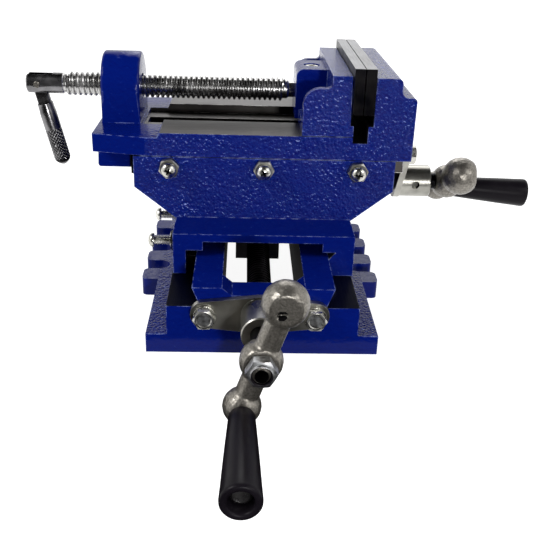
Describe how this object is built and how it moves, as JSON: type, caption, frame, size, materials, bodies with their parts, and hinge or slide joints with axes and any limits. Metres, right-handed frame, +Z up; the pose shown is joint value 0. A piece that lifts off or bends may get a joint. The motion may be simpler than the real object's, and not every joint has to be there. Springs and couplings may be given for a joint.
{
  "type": "cross slide vise",
  "caption": "Cross slide vise for a drill press: jaws on two crossed dovetail slides, each moved by a ball crank, with a folding handle on the jaw screw.",
  "frame": {"origin": "middle of the base casting's footprint, on the table", "axes": "+X along the jaw screw towards the fixed jaw, +Y along the lower slide away from its crank, +Z up"},
  "size_m": [0.3125, 0.3404, 0.1455],
  "materials": {
    "blue_paint": "gloss enamel over sand-cast iron",
    "zinc_plate": "bright zinc plate",
    "black_oxide": "satin black oxide",
    "cast_grey": "turned and polished grey casting",
    "black_plastic": "matte black moulding",
    "bright_steel": "bright turned steel",
    "machined_grey": "ground steel"
  },
  "bodies": {
    "base": {"base": "blue_paint", "front_bracket": "zinc_plate", "front_bracket_bolt_1": "zinc_plate", "front_bracket_bolt_2": "zinc_plate", "front_bracket_washer_1": "zinc_plate", "front_bracket_washer_2": "zinc_plate"},
    "front_crank": {"front_lead_screw": "black_oxide", "front_crank": "cast_grey", "front_crank_nut": "zinc_plate", "front_grip_spindle": "bright_steel"},
    "front_grip": {"front_grip": "black_plastic"},
    "saddle": {"saddle": "blue_paint", "lower_gib": "black_oxide", "upper_gib": "black_oxide", "lower_nut": "black_oxide", "lower_nut_screw_1": "black_oxide", "lower_nut_screw_2": "black_oxide", "upper_nut": "black_oxide", "lower_gib_screw_1": "zinc_plate", "lower_gib_screw_2": "zinc_plate", "lower_gib_screw_3": "zinc_plate", "lower_gib_nut_1": "zinc_plate", "lower_gib_nut_2": "zinc_plate", "lower_gib_nut_3": "zinc_plate", "upper_gib_screw_1": "zinc_plate", "upper_gib_screw_2": "zinc_plate", "upper_gib_screw_3": "zinc_plate", "upper_gib_nut_1": "zinc_plate", "upper_gib_nut_2": "zinc_plate", "upper_gib_nut_3": "zinc_plate"},
    "vise_body": {"vise_body": "blue_paint", "fixed_jaw_plate": "black_oxide", "fixed_plate_screw_1": "black_oxide", "fixed_plate_screw_2": "black_oxide", "side_bracket": "zinc_plate", "side_bracket_bolt_1": "zinc_plate", "side_bracket_bolt_2": "zinc_plate"},
    "side_crank": {"side_lead_screw": "black_oxide", "side_crank": "cast_grey", "side_crank_nut": "zinc_plate", "side_grip_spindle": "bright_steel"},
    "side_grip": {"side_grip": "black_plastic"},
    "movable_jaw": {"movable_jaw": "blue_paint", "movable_jaw_plate": "black_oxide", "movable_plate_screw_1": "black_oxide", "movable_plate_screw_2": "black_oxide", "keeper_plate": "machined_grey", "keeper_screw_1": "zinc_plate", "keeper_screw_2": "zinc_plate", "neck_screw": "zinc_plate"},
    "vise_screw": {"vise_screw": "bright_steel", "handle_pin": "bright_steel"},
    "swing_handle": {"swing_handle": "bright_steel"}
  },
  "joints": [
    {"name": "saddle_travel", "type": "slide", "parent": "base", "child": "saddle", "axis": [0, 1, 0], "range_m": [-0.038, 0.055]},
    {"name": "front_crank_turn", "type": "hinge", "parent": "base", "child": "front_crank", "pos_m": [-0.0017, -0.1133, 0.024], "axis": [0, 1, 0], "range_deg": [-4560.05, 6600.05]},
    {"name": "front_grip_spin", "type": "hinge", "parent": "front_crank", "child": "front_grip", "pos_m": [-0.01017, -0.16, -0.00058], "axis": [0, -1, 0], "continuous": true},
    {"name": "body_travel", "type": "slide", "parent": "saddle", "child": "vise_body", "axis": [1, 0, 0], "range_m": [-0.008, 0.053]},
    {"name": "side_crank_turn", "type": "hinge", "parent": "vise_body", "child": "side_crank", "pos_m": [0.0817, 0, 0.0588], "axis": [1, 0, 0], "range_deg": [-960.05, 6360.05]},
    {"name": "side_grip_spin", "type": "hinge", "parent": "side_crank", "child": "side_grip", "pos_m": [0.1158, 0.02375, 0.04822], "axis": [0.9976, 0, -0.0698], "continuous": true},
    {"name": "jaw_travel", "type": "slide", "parent": "vise_body", "child": "movable_jaw", "axis": [-1, 0, 0], "range_m": [0, 0.085]},
    {"name": "vise_screw_turn", "type": "hinge", "parent": "movable_jaw", "child": "vise_screw", "pos_m": [0.0276, 0, 0.1135], "axis": [1, 0, 0], "range_deg": [-0.05, 10200.05]},
    {"name": "handle_fold", "type": "hinge", "parent": "vise_screw", "child": "swing_handle", "pos_m": [-0.1312, 0, 0.1135], "axis": [0, 1, 0], "range_deg": [-12, 103]}
  ],
  "couplings": [
    {"joint": "front_crank_turn", "follows": "saddle_travel", "rad_per_m": 2094.4},
    {"joint": "side_crank_turn", "follows": "body_travel", "rad_per_m": 2094.4},
    {"joint": "vise_screw_turn", "follows": "jaw_travel", "rad_per_m": 2094.4}
  ]
}
